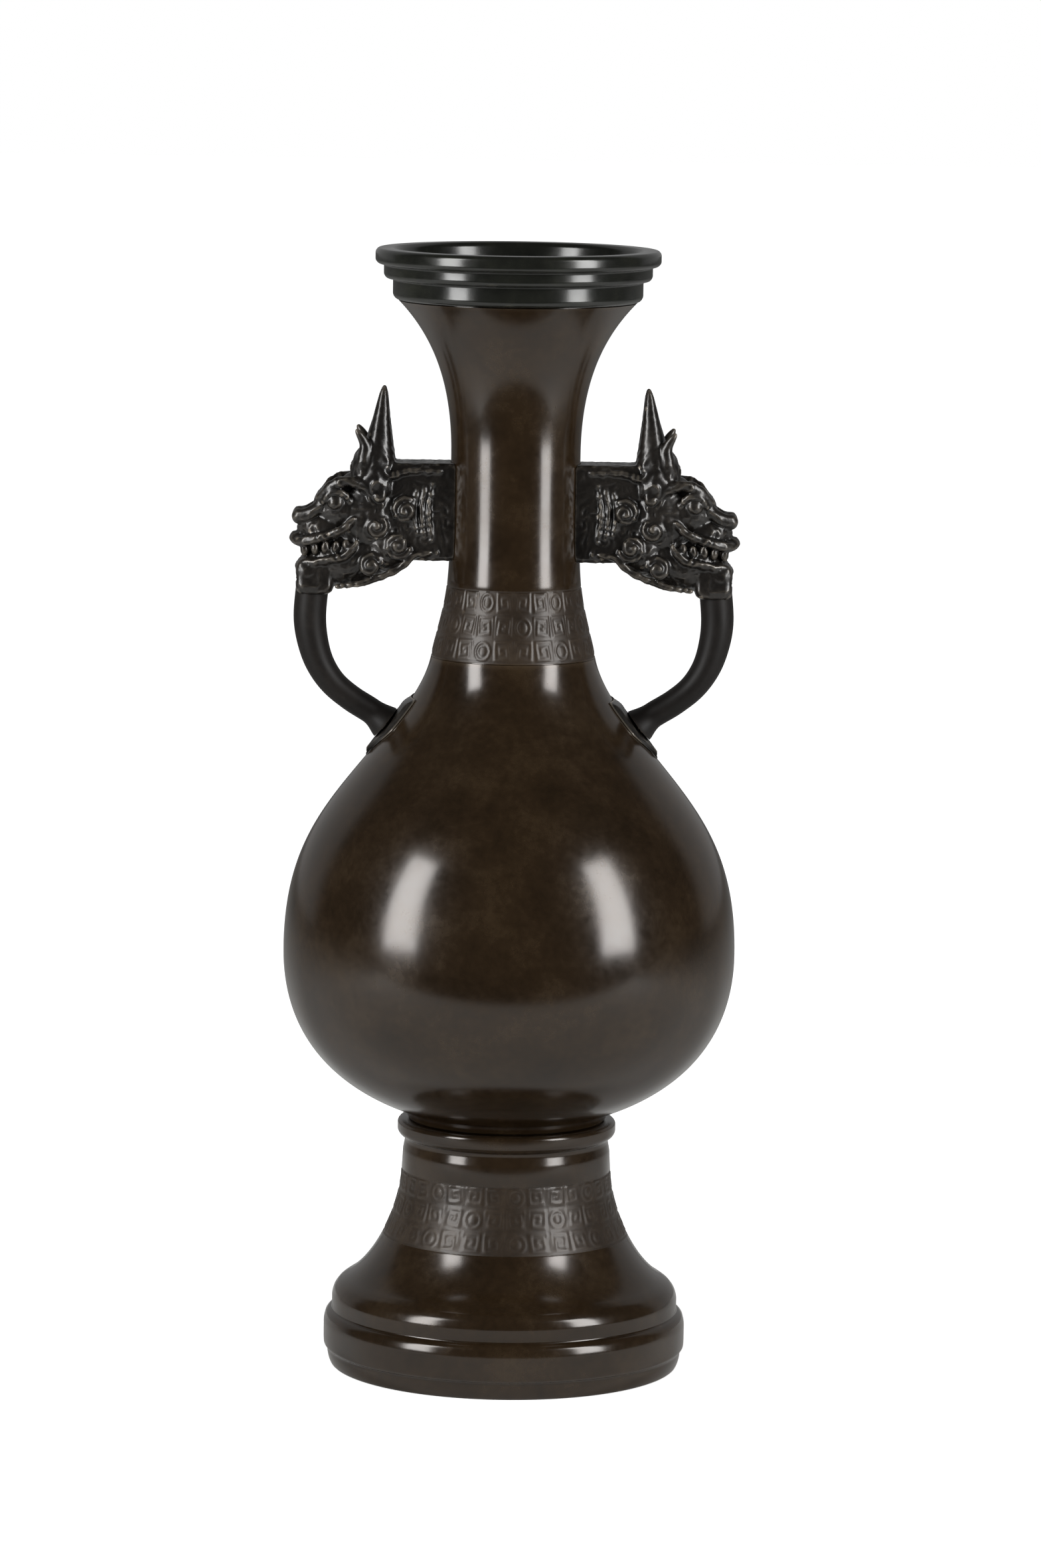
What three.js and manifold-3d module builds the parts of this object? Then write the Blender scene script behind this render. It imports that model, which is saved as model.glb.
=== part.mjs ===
// Bronze altar vase with two beast-head handles, built as its separately cast pieces.
// Millimetres, +Z up. The origin is the centre of the foot's underside.
import * as THREE from 'three';
import { mergeVertices } from 'three/addons/utils/BufferGeometryUtils.js';
import Module from 'manifold-3d';

const wasm = await Module();
wasm.setup();

// General sizes
const WALL = 3.0;
const CLEARANCE = 0.3;
const TURN_STEPS = 36;

// Foot: stepped base ring, flare, waist and collar lip
const BASE_RADIUS = 51.8;
const BASE_RING_TOP = 16.2;
const BASE_STEP = 2.3;
const FLARE_TOP = 25.2;
const FLARE_RADIUS = 45.6;
const WAIST_Z = 57.0;
const WAIST_RADIUS = 29.9;
const COLLAR_TOP = 71.4;
const LIP_RADIUS = 31.2;
const LIP_HEIGHT = 5.0;
const FOOT_WALL = 3.2;

// Body: round belly, shoulder, and the spigot that sits in the foot
const SPIGOT_RADIUS = 24.0;
const SPIGOT_LENGTH = 18.0;
const BELLY_FOOT_RADIUS = 29.0;
const BELLY_FOOT_Z = 74.0;
const BELLY_RADIUS = 64.4;
const BELLY_Z = 120.0;
const SHOULDER_RADIUS = 42.3;
const SHOULDER_Z = 174.5;

// Neck: joint with the body, waist and flare to the mouth
const NECK_JOINT_Z = 204.5;
const NECK_JOINT_RADIUS = 23.3;
const NECK_SPIGOT_DEPTH = 8.0;
const NECK_SPIGOT_WALL = 2.2;
const NECK_BAND_Z = 225.0;
const NECK_BAND_RADIUS = 19.0;
const NECK_WAIST_Z = 262.0;
const NECK_WAIST_RADIUS = 18.3;
const MOUTH_Z = 305.2;
const MOUTH_RADIUS = 33.6;

// Mouth rim: three bands that step outwards
const RIM_HEIGHT = 14.6;
const LOW_BAND_RADIUS = 35.3;
const LOW_BAND_HEIGHT = 5.8;
const MID_BAND_RADIUS = 37.9;
const MID_BAND_HEIGHT = 4.2;
const TOP_BAND_RADIUS = 40.3;
const RIM_SOCKET_DEPTH = 6.0;
const RIM_LAND = 4.4;

// Beast heads, handle loops and shoulder pads; each bend of a loop is measured out and down from the jaw
const HEAD_WIDTH = 20.0;
const BRACKET_WIDTH = 14.0;
const JAW_X = 56.2;
const JAW_Z = 222.4;
const LOOP_BENDS = [[1.4, -6.9], [0.2, -13.9], [-2.0, -20.5], [-6.6, -27.0]];
const LOOP_THICKNESS = 9.0;
const LOOP_WIDTH = 11.0;
const LOOP_TENON_RADIUS = 2.7;
const LOOP_TENON_LENGTH = 8.0;
const PAD_THICKNESS = 2.0;
const PAD_LENGTH = 21.0;
const PAD_WIDTH = 17.0;
const PAD_Z = 184.0;

// Rivets
const NECK_RIVET_RADIUS = 2.0;
const NECK_RIVET_REACH = 13.0;
const NECK_RIVET_HEIGHTS = [239.0, 252.5];
const PAD_RIVET_RADIUS = 2.4;
const PAD_RIVET_REACH = 10.5;
const RIVET_HEAD_OVER = 1.6;
const RIVET_HEAD_HEIGHT = 1.3;

const at = (r, z) => new THREE.Vector2(r, z);

// A smooth stretch of profile between two points, given the way it leaves one and enters the other.
function bend(from, leave, leaveLength, to, enter, enterLength, steps) {
  const first = from.clone().addScaledVector(leave.clone().normalize(), leaveLength);
  const second = to.clone().addScaledVector(enter.clone().normalize(), -enterLength);
  return new THREE.CubicBezierCurve(from, first, second, to).getPoints(steps);
}

// The same profile moved sideways, to the left of its direction for a positive distance.
function offset(points, distance) {
  return points.map((point, index) => {
    const before = points[Math.max(index - 1, 0)];
    const after = points[Math.min(index + 1, points.length - 1)];
    const along = after.clone().sub(before).normalize();
    return at(point.x - along.y * distance, point.y + along.x * distance);
  });
}

// Where a profile that rises steadily reaches a height.
function radiusAt(points, height) {
  const above = points.findIndex((point) => point.y >= height);
  const high = points[above];
  const low = points[Math.max(above - 1, 0)];
  const share = high.y === low.y ? 0 : (height - low.y) / (high.y - low.y);
  return low.x + (high.x - low.x) * share;
}

function toSolid(geometry) {
  const bare = geometry.index ? geometry.toNonIndexed() : geometry.clone();
  bare.deleteAttribute('normal');
  bare.deleteAttribute('uv');
  const merged = mergeVertices(bare, 1e-4);
  const index = merged.index.array;
  const kept = [];
  for (let face = 0; face < index.length; face += 3) {
    const [a, b, c] = [index[face], index[face + 1], index[face + 2]];
    if (a !== b && b !== c && c !== a) kept.push(a, b, c);
  }
  const vertProperties = new Float32Array(merged.attributes.position.array);
  const mesh = new wasm.Mesh({ numProp: 3, vertProperties, triVerts: new Uint32Array(kept) });
  mesh.merge();
  return new wasm.Manifold(mesh);
}

function toGeometry(solid) {
  const mesh = solid.getMesh();
  const geometry = new THREE.BufferGeometry();
  geometry.setAttribute('position', new THREE.BufferAttribute(mesh.vertProperties, 3));
  geometry.setIndex(new THREE.BufferAttribute(mesh.triVerts, 1));
  geometry.computeVertexNormals();
  return geometry;
}

// A turned solid: the outline runs anticlockwise, so its outer side is drawn upwards.
function turned(outline, steps = TURN_STEPS) {
  const geometry = new THREE.LatheGeometry([...outline, outline[0].clone()], steps);
  geometry.rotateX(Math.PI / 2);
  return toSolid(geometry);
}

// A flat outline in the XZ plane, thickened evenly to both sides along Y.
function slab(shape, width) {
  const geometry = new THREE.ExtrudeGeometry(shape, { depth: width, bevelEnabled: false, curveSegments: 3 });
  geometry.translate(0, 0, -width / 2);
  geometry.rotateX(Math.PI / 2);
  return toSolid(geometry);
}

// A turned pin, moved from the Z axis to a place and direction in the XZ plane.
function placedPin(outline, place, direction, steps = 12) {
  const geometry = new THREE.LatheGeometry([...outline, outline[0].clone()], steps);
  geometry.rotateX(Math.PI / 2);
  const turn = new THREE.Quaternion().setFromUnitVectors(new THREE.Vector3(0, 0, 1), direction);
  geometry.applyQuaternion(turn);
  geometry.translate(place.x, place.y, place.z);
  return toSolid(geometry);
}

function rod(radius, from, direction, length, steps = 12) {
  const outline = [at(0, 0), at(radius, 0), at(radius, length), at(0, length)];
  return placedPin(outline, from, direction, steps);
}

function rivet(radius, length, from, direction) {
  const head = radius + RIVET_HEAD_OVER;
  const outline = [
    at(0, -RIVET_HEAD_HEIGHT), at(head * 0.6, -RIVET_HEAD_HEIGHT), at(head, -RIVET_HEAD_HEIGHT * 0.35),
    at(head, 0), at(radius, 0), at(radius, length), at(0, length),
  ];
  return placedPin(outline, from, direction);
}

// Outer profiles, each drawn upwards
const UP = at(0, 1);
const bellyLow = bend(at(BELLY_FOOT_RADIUS, BELLY_FOOT_Z), at(1, 0.34), 16, at(BELLY_RADIUS, BELLY_Z), UP, 29, 7);
const bellyHigh = bend(at(BELLY_RADIUS, BELLY_Z), UP, 27, at(SHOULDER_RADIUS, SHOULDER_Z), at(-0.62, 0.76), 20, 5);
const shoulder = bend(
  at(SHOULDER_RADIUS, SHOULDER_Z), at(-0.62, 0.76), 14,
  at(NECK_JOINT_RADIUS, NECK_JOINT_Z), at(-0.2, 1), 10, 4,
);
const bodyOuter = [...bellyLow, ...bellyHigh.slice(1), ...shoulder.slice(1)];
const neckFoot = at(NECK_JOINT_RADIUS - 0.05, NECK_JOINT_Z + CLEARANCE);
const neckOuter = [
  ...bend(neckFoot, at(-0.2, 1), 7, at(NECK_BAND_RADIUS, NECK_BAND_Z), at(-0.1, 1), 8, 3),
  ...bend(at(NECK_BAND_RADIUS, NECK_BAND_Z), at(-0.09, 1), 12, at(NECK_WAIST_RADIUS, NECK_WAIST_Z), UP, 12, 2).slice(1),
  ...bend(at(NECK_WAIST_RADIUS, NECK_WAIST_Z), UP, 20, at(MOUTH_RADIUS, MOUTH_Z), at(0.7, 0.72), 14, 6).slice(1),
];
const neckInner = offset(neckOuter, WALL);

function footSolid() {
  const ringLow = BASE_RING_TOP * 0.4;
  const flare = bend(at(FLARE_RADIUS, FLARE_TOP), at(-0.86, 0.5), 9, at(WAIST_RADIUS, WAIST_Z), at(-0.02, 1), 12, 6);
  const socket = SPIGOT_RADIUS + CLEARANCE;
  const inside = offset(flare, FOOT_WALL);
  const ledge = COLLAR_TOP - SPIGOT_LENGTH - CLEARANCE;
  const outline = [
    at(BASE_RADIUS - 7, 0), at(BASE_RADIUS - 2.6, 0), at(BASE_RADIUS - 1.1, ringLow - 2.7),
    at(BASE_RADIUS - 1.1, ringLow - 1.5), at(BASE_RADIUS, ringLow), at(BASE_RADIUS, BASE_RING_TOP - 3.6),
    at(BASE_RADIUS - 1.4, BASE_RING_TOP - 0.3), at(BASE_RADIUS - BASE_STEP, BASE_RING_TOP),
    at(BASE_RADIUS - BASE_STEP - 0.1, FLARE_TOP - 5), at(FLARE_RADIUS + 2, FLARE_TOP - 1.5),
    ...flare,
    at(WAIST_RADIUS - 0.8, COLLAR_TOP - LIP_HEIGHT - 1), at(WAIST_RADIUS - 0.7, COLLAR_TOP - LIP_HEIGHT),
    at(LIP_RADIUS, COLLAR_TOP - LIP_HEIGHT + 1.8), at(LIP_RADIUS, COLLAR_TOP - 1),
    at(LIP_RADIUS - 0.6, COLLAR_TOP - 0.2), at(LIP_RADIUS - 1.4, COLLAR_TOP),
    at(socket, COLLAR_TOP), at(socket, ledge),
    ...inside.slice(1, -1).filter((point) => point.y < ledge - 2 && point.x > socket).reverse(),
    at(BASE_RADIUS - 7, FLARE_TOP - 7),
  ];
  return turned(outline);
}

const bodyJointRadius = radiusAt(bodyOuter, NECK_JOINT_Z) - WALL;

function bodySolid() {
  const seat = COLLAR_TOP + CLEARANCE;
  const bottom = COLLAR_TOP - SPIGOT_LENGTH;
  const inside = offset(bodyOuter, WALL);
  const socketFloor = NECK_JOINT_Z - NECK_SPIGOT_DEPTH;
  const outline = [
    at(0, bottom), at(SPIGOT_RADIUS - 0.8, bottom), at(SPIGOT_RADIUS, bottom + 0.8),
    at(SPIGOT_RADIUS, seat), at(BELLY_FOOT_RADIUS - 0.6, seat),
    ...bodyOuter,
    at(bodyJointRadius, NECK_JOINT_Z), at(bodyJointRadius, socketFloor - CLEARANCE),
    ...inside.filter((point) => point.y > BELLY_FOOT_Z + WALL && point.y < socketFloor - 3).reverse(),
    at(SPIGOT_RADIUS - WALL, seat + WALL), at(SPIGOT_RADIUS - WALL, bottom + WALL), at(0, bottom + WALL),
  ];
  return turned(outline);
}

function neckSolid() {
  const spigot = bodyJointRadius - CLEARANCE;
  const bore = spigot - NECK_SPIGOT_WALL;
  const tenon = MOUTH_RADIUS - 2.1;
  const outline = [
    at(bore, NECK_JOINT_Z - NECK_SPIGOT_DEPTH), at(spigot, NECK_JOINT_Z - NECK_SPIGOT_DEPTH),
    at(spigot, NECK_JOINT_Z + CLEARANCE),
    ...neckOuter,
    at(tenon, MOUTH_Z), at(tenon, MOUTH_Z + RIM_SOCKET_DEPTH), at(tenon - 2.2, MOUTH_Z + RIM_SOCKET_DEPTH),
    ...neckInner.slice(1, -1).reverse(),
    at(bore, NECK_JOINT_Z + 5),
  ];
  return turned(outline);
}

function rimSolid() {
  const low = MOUTH_Z + CLEARANCE;
  const top = low + RIM_HEIGHT - 0.1;
  const socket = MOUTH_RADIUS - 2.1 + CLEARANCE;
  const lowTop = low + LOW_BAND_HEIGHT;
  const midTop = lowTop + MID_BAND_HEIGHT;
  const outline = [
    at(socket, low), at(MOUTH_RADIUS + 0.1, low), at(LOW_BAND_RADIUS, low + 1.4), at(LOW_BAND_RADIUS, lowTop - 0.1),
    at(MID_BAND_RADIUS - 0.7, lowTop + 0.3), at(MID_BAND_RADIUS, lowTop + 1.2), at(MID_BAND_RADIUS, midTop - 0.1),
    at(TOP_BAND_RADIUS - 0.7, midTop + 0.1), at(TOP_BAND_RADIUS, midTop + 0.9), at(TOP_BAND_RADIUS, top - 0.7),
    at(TOP_BAND_RADIUS - 0.7, top), at(TOP_BAND_RADIUS - 0.7 - RIM_LAND, top),
    at(TOP_BAND_RADIUS - 1.8 - RIM_LAND, top - 0.9), at(socket + 0.7, low + RIM_SOCKET_DEPTH + 1),
    at(socket, low + RIM_SOCKET_DEPTH + 0.4),
  ];
  return turned(outline);
}

// The space that the vase itself fills, grown outwards, for trimming what fits against it
function neckKeepOut(gap) {
  const grown = offset(neckOuter, -gap);
  return turned([at(0, NECK_JOINT_Z), at(grown[0].x, NECK_JOINT_Z), ...grown.slice(1, -1), at(0, grown.at(-2).y)]);
}

function bodyKeepOut(gap) {
  const grown = offset(bodyOuter, -gap).filter((point) => point.y > BELLY_Z);
  return turned([at(0, BELLY_Z), at(grown[0].x, BELLY_Z), ...grown, at(0, grown.at(-1).y)]);
}

// Everything on a handle is drawn on the +X side and turned half round for the other.
const padRadius = radiusAt(bodyOuter, PAD_Z);
const padSlope = at(
  radiusAt(bodyOuter, PAD_Z + 3) - radiusAt(bodyOuter, PAD_Z - 3),
  6,
).normalize();
const padNormal = new THREE.Vector3(padSlope.y, 0, -padSlope.x);
const padPlace = new THREE.Vector3(padRadius, 0, PAD_Z);

function padSolid() {
  const leaf = new THREE.Shape();
  const half = PAD_WIDTH / 2;
  const reach = PAD_LENGTH / 2;
  leaf.moveTo(-half * 0.7, reach);
  leaf.bezierCurveTo(-half * 1.25, reach * 0.2, -half * 0.9, -reach * 0.5, 0, -reach);
  leaf.bezierCurveTo(half * 0.9, -reach * 0.5, half * 1.25, reach * 0.2, half * 0.7, reach);
  leaf.closePath();
  const geometry = new THREE.ExtrudeGeometry(leaf, { depth: 24, bevelEnabled: false, curveSegments: 7 });
  geometry.translate(0, 0, -12);
  const basis = new THREE.Matrix4().makeBasis(
    new THREE.Vector3(0, 1, 0),
    new THREE.Vector3(-padNormal.z, 0, padNormal.x),
    padNormal,
  );
  geometry.applyMatrix4(basis);
  geometry.translate(padPlace.x, 0, padPlace.z);
  const shell = bodyKeepOut(CLEARANCE + PAD_THICKNESS).subtract(bodyKeepOut(CLEARANCE));
  return toSolid(geometry).intersect(shell).subtract(padRivetHole());
}

function padRivetStart() {
  return padPlace.clone().addScaledVector(padNormal, -(WALL + CLEARANCE + 0.2));
}

function padRivetHole() {
  const start = padPlace.clone().addScaledVector(padNormal, -WALL - 3);
  return rod(PAD_RIVET_RADIUS + CLEARANCE, start, padNormal, PAD_RIVET_REACH + 3 + CLEARANCE);
}

function loopPath() {
  const end = padPlace.clone().addScaledVector(padNormal, -1);
  return new THREE.CatmullRomCurve3([
    new THREE.Vector3(JAW_X + 0.9, 0, JAW_Z - CLEARANCE),
    ...LOOP_BENDS.map(([out, down]) => new THREE.Vector3(JAW_X + out, 0, JAW_Z + down)),
    padPlace.clone().addScaledVector(padNormal, 7),
    end,
  ]);
}

function loopSolid() {
  const section = new THREE.Shape();
  section.absellipse(0, 0, LOOP_WIDTH / 2, LOOP_THICKNESS / 2, 0, Math.PI * 2);
  const geometry = new THREE.ExtrudeGeometry(section, {
    steps: 12, curveSegments: 6, bevelEnabled: false, extrudePath: loopPath(),
  });
  const tenonFoot = new THREE.Vector3(JAW_X, 0, JAW_Z - 4);
  const tenon = rod(LOOP_TENON_RADIUS, tenonFoot, new THREE.Vector3(0, 0, 1), LOOP_TENON_LENGTH + 4);
  return toSolid(geometry)
    .subtract(jawBlock())
    .subtract(bodyKeepOut(2 * CLEARANCE + PAD_THICKNESS))
    .add(tenon)
    .subtract(padRivetHole());
}

// The block above the jaw line, which squares off the top of the loop
function jawBlock() {
  const block = new THREE.BoxGeometry(40, 40, 20);
  block.translate(JAW_X, 0, JAW_Z - CLEARANCE + 10);
  return toSolid(block);
}

function headOutline() {
  const outline = new THREE.Shape();
  outline.moveTo(24, 231.4);
  outline.lineTo(30, 230.2);
  outline.quadraticCurveTo(33.5, 226.2, 41, 223.6);
  outline.quadraticCurveTo(JAW_X - 10.2, JAW_Z, JAW_X - 6.2, JAW_Z);
  outline.lineTo(JAW_X + 4.8, JAW_Z);
  outline.quadraticCurveTo(JAW_X + 5.4, 228, JAW_X + 4.6, 231.6);
  outline.quadraticCurveTo(JAW_X + 7, 235.6, JAW_X + 5, 238.4);
  outline.quadraticCurveTo(JAW_X + 3, 240.2, JAW_X + 5.2, 241.2);
  outline.quadraticCurveTo(JAW_X + 8.8, 243.6, JAW_X + 3.8, 245.8);
  outline.quadraticCurveTo(JAW_X + 1, 244.6, JAW_X, 247);
  outline.quadraticCurveTo(JAW_X - 1.2, 252.4, JAW_X - 9.8, 255.6);
  outline.lineTo(42, 260.4);
  outline.lineTo(33.6, 260.6);
  outline.lineTo(24, 259.8);
  outline.closePath();
  return outline;
}

function spike(base, tip, baseRadius, tipRadius) {
  const along = tip.clone().sub(base);
  const length = along.length();
  const outline = [at(0, 0), at(baseRadius, 0), at(baseRadius * 0.75, length * 0.5), at(tipRadius, length), at(0, length)];
  return placedPin(outline, base, along.normalize(), 10);
}

function ball(x, y, z, radius) {
  const geometry = new THREE.SphereGeometry(radius, 10, 6);
  geometry.rotateX(Math.PI / 2);
  geometry.translate(x, y, z);
  return toSolid(geometry);
}

// A disc lying in the XZ plane, such as one curl of the mane
function curl(x, y, z, radius, width) {
  return rod(radius, new THREE.Vector3(x, y - width / 2, z), new THREE.Vector3(0, 1, 0), width, 14);
}

function headSolid() {
  const bracket = new THREE.Shape();
  bracket.moveTo(10, 232.4);
  bracket.lineTo(36, 231);
  bracket.lineTo(36, 259.9);
  bracket.lineTo(10, 259.9);
  bracket.closePath();
  let head = slab(headOutline(), HEAD_WIDTH).add(slab(bracket, BRACKET_WIDTH));
  for (const side of [-1, 1]) {
    const cheek = side * (HEAD_WIDTH / 2 - 1.5);
    head = head
      .add(spike(new THREE.Vector3(37.6, side * 4.6, 256), new THREE.Vector3(37.4, side * 3.2, 281), 4.4, 0.9))
      .add(spike(new THREE.Vector3(44.6, side * 7, 254), new THREE.Vector3(44.9, side * 8.6, 269.3), 2.4, 0.6))
      .add(ball(JAW_X - 4.8, cheek - side * 0.6, 248.6, 3.4))
      .add(ball(JAW_X + 3.8, side * 3.6, 243.6, 2.9))
      .add(curl(31.4, cheek, 241.5, 5.0, 5))
      .add(curl(34.2, cheek, 233.4, 4.4, 5));
  }
  const socket = rod(
    LOOP_TENON_RADIUS + CLEARANCE, new THREE.Vector3(JAW_X, 0, JAW_Z - 4),
    new THREE.Vector3(0, 0, 1), LOOP_TENON_LENGTH + 4 + CLEARANCE,
  );
  head = head.subtract(neckKeepOut(CLEARANCE)).subtract(socket);
  for (const height of NECK_RIVET_HEIGHTS) head = head.subtract(neckRivetHole(height));
  return head;
}

const neckInside = (height) => radiusAt(neckInner, height);

function neckRivetStart(height) {
  const flat = Math.sqrt(neckInside(height) ** 2 - (NECK_RIVET_RADIUS + RIVET_HEAD_OVER) ** 2);
  return new THREE.Vector3(flat - CLEARANCE - 0.1, 0, height);
}

function neckRivetHole(height) {
  const start = new THREE.Vector3(neckInside(height) - 4, 0, height);
  const end = neckRivetStart(height).x + NECK_RIVET_REACH + CLEARANCE;
  return rod(NECK_RIVET_RADIUS + CLEARANCE, start, new THREE.Vector3(1, 0, 0), end - start.x);
}

const halfTurn = (solid) => solid.rotate([0, 0, 180]);
const bothSides = (solid) => solid.add(halfTurn(solid));

// Finishes
const finish = (color, roughness) => new THREE.MeshStandardMaterial({ color, roughness, metalness: 0.9 });
const BROWN_BRONZE = finish('#3b2c1e', 0.34);
const RIM_BRONZE = finish('#3a3a30', 0.42);
const DARK_BRONZE = finish('#26231e', 0.46);
const RIVET_BRONZE = finish('#4a3a26', 0.5);

const group = new THREE.Group();

function place(name, solid, material) {
  const mesh = new THREE.Mesh(toGeometry(solid), material);
  mesh.name = name;
  group.add(mesh);
}

let neck = neckSolid();
for (const height of NECK_RIVET_HEIGHTS) neck = neck.subtract(bothSides(neckRivetHole(height)));

place('foot', footSolid(), BROWN_BRONZE);
place('body', bodySolid().subtract(bothSides(padRivetHole())), BROWN_BRONZE);
place('neck', neck, BROWN_BRONZE);
place('mouth_rim', rimSolid(), RIM_BRONZE);

for (const [side, turn] of [['right', (solid) => solid], ['left', halfTurn]]) {
  place(`beast_head_${side}`, turn(headSolid()), DARK_BRONZE);
  place(`handle_loop_${side}`, turn(loopSolid()), DARK_BRONZE);
  place(`shoulder_pad_${side}`, turn(padSolid()), DARK_BRONZE);
  NECK_RIVET_HEIGHTS.forEach((height, index) => {
    const pin = rivet(NECK_RIVET_RADIUS, NECK_RIVET_REACH, neckRivetStart(height), new THREE.Vector3(1, 0, 0));
    place(`neck_rivet_${side}_${index + 1}`, turn(pin), RIVET_BRONZE);
  });
  const padPin = rivet(PAD_RIVET_RADIUS, PAD_RIVET_REACH, padRivetStart(), padNormal);
  place(`pad_rivet_${side}`, turn(padPin), RIVET_BRONZE);
}

export default group;
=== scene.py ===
"""Bronze altar vase with beast-head handles: its fine surfaces, finishes, light and camera."""
import logging
import math
from dataclasses import dataclass, field
from enum import Enum
from typing import Sequence

import bmesh
import bpy
from mathutils import Matrix, Vector, noise
from mathutils.geometry import interpolate_bezier


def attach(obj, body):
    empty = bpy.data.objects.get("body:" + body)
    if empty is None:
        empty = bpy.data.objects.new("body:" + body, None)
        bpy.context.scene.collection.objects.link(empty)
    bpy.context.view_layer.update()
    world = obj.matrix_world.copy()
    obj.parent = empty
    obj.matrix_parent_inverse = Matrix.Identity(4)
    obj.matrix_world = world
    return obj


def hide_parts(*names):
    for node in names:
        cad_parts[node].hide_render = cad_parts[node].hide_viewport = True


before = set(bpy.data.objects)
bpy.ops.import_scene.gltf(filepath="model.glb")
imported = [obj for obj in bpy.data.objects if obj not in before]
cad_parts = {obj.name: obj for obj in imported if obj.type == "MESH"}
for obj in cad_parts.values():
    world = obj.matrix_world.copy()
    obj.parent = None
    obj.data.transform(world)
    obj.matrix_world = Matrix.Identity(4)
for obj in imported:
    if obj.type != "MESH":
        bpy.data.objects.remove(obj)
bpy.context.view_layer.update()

LOG = logging.getLogger("vase")
MM = 0.001
Point = tuple[float, float]
Place = tuple[float, float, float]

PHOTO_HEIGHT = 2362


class Side(Enum):
    """The two handles, by the way each one points along X."""

    RIGHT = 1
    LEFT = -1


def linear(hex_colour: str) -> tuple[float, float, float, float]:
    """Turn an sRGB hex colour into the linear colour that shaders use.

    Args:
        hex_colour: Six hex digits after a hash.

    Returns:
        Linear red, green, blue and an alpha of 1.
    """
    values = [int(hex_colour[i:i + 2], 16) / 255 for i in (1, 3, 5)]
    red, green, blue = (v / 12.92 if v <= 0.04045 else ((v + 0.055) / 1.055) ** 2.4 for v in values)
    return red, green, blue, 1.0


def per_size(size_mm: float) -> float:
    """Give the texture scale at which one feature of a pattern is this many millimetres wide."""
    return 1.0 / (size_mm * MM)


def smooth_step(low: float, high: float, value: float) -> float:
    """Rise smoothly from 0 at low to 1 at high."""
    share = min(max((value - low) / (high - low), 0.0), 1.0)
    return share * share * (3.0 - 2.0 * share)


def ridge(edges: Sequence[float], value: float) -> float:
    """Rise smoothly from 0 to 1 between the first two edges, and fall back between the last two."""
    return smooth_step(edges[0], edges[1], value) * (1.0 - smooth_step(edges[2], edges[3], value))


def bend(start: Point, leave: Point, leave_length: float, end: Point, enter: Point,
         enter_length: float, steps: int) -> list[Point]:
    """Draw a smooth stretch of profile between two points.

    Args:
        start: First point, as radius and height in millimetres.
        leave: Direction in which the stretch leaves it.
        leave_length: Length of the curve's first handle.
        end: Last point.
        enter: Direction in which the stretch enters it.
        enter_length: Length of the curve's second handle.
        steps: How many pieces the stretch is cut into.

    Returns:
        The points along it, both ends included.
    """
    first = Vector(start) + Vector(leave).normalized() * leave_length
    second = Vector(end) - Vector(enter).normalized() * enter_length
    points = interpolate_bezier(Vector(start), first, second, Vector(end), steps + 1)
    return [(point.x, point.y) for point in points]


def offset(points: Sequence[Point], distance: float) -> list[Point]:
    """Move a profile sideways, to the left of its direction.

    Args:
        points: The profile.
        distance: How far it moves, in millimetres.

    Returns:
        The moved profile.
    """
    moved = []
    for index, point in enumerate(points):
        before = Vector(points[max(index - 1, 0)])
        after = Vector(points[min(index + 1, len(points) - 1)])
        along = (after - before).normalized()
        moved.append((point[0] - along.y * distance, point[1] + along.x * distance))
    return moved


def rounded(points: Sequence[Point], radius: float, steps: int = 4) -> list[Point]:
    """Round the inner corners of an open outline.

    Args:
        points: Corners in order; the first and last stay as they are.
        radius: Largest distance from a corner at which its rounding starts.
        steps: Pieces in each rounding.

    Returns:
        The outline with each corner drawn as a small curve.
    """
    result = [points[0]]
    for index in range(1, len(points) - 1):
        corner = Vector(points[index])
        back = Vector(points[index - 1]) - corner
        ahead = Vector(points[index + 1]) - corner
        reach = min(radius, back.length * 0.45, ahead.length * 0.45)
        start = corner + back.normalized() * reach
        end = corner + ahead.normalized() * reach
        for step in range(steps + 1):
            share = step / steps
            place = start * (1 - share) ** 2 + corner * 2 * share * (1 - share) + end * share ** 2
            result.append((place.x, place.y))
    result.append(points[-1])
    return result


def radius_at(points: Sequence[Point], height: float) -> float:
    """Find the radius at which an upward profile reaches a height.

    Args:
        points: The profile.
        height: The height in millimetres.

    Returns:
        The radius there, or the last point's above or below the profile.
    """
    for low, high in zip(points, points[1:]):
        if low[1] <= height <= high[1] and high[1] > low[1]:
            return low[0] + (high[0] - low[0]) * (height - low[1]) / (high[1] - low[1])
    return points[-1][0]


def new_object(name: str, mesh_data: bmesh.types.BMesh, material: bpy.types.Material,
               smooth_angle: float = 40.0) -> bpy.types.Object:
    """Turn a bmesh drawn in millimetres into a finished object in metres.

    Args:
        name: Name of the object.
        mesh_data: The shape, which is freed here.
        material: Finish of the piece.
        smooth_angle: Edges sharper than this many degrees stay sharp.

    Returns:
        The object, which rides on the vase's only body.
    """
    bmesh.ops.scale(mesh_data, vec=(MM, MM, MM), verts=mesh_data.verts)
    mesh = bpy.data.meshes.new(name)
    mesh_data.to_mesh(mesh)
    mesh_data.free()
    mesh.shade_smooth()
    mesh.set_sharp_from_angle(angle=math.radians(smooth_angle))
    piece = bpy.data.objects.new(name, mesh)
    bpy.context.scene.collection.objects.link(piece)
    mesh.materials.append(material)
    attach(piece, "root")
    LOG.info("%s: %d faces", name, len(mesh.polygons))
    return piece


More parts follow.
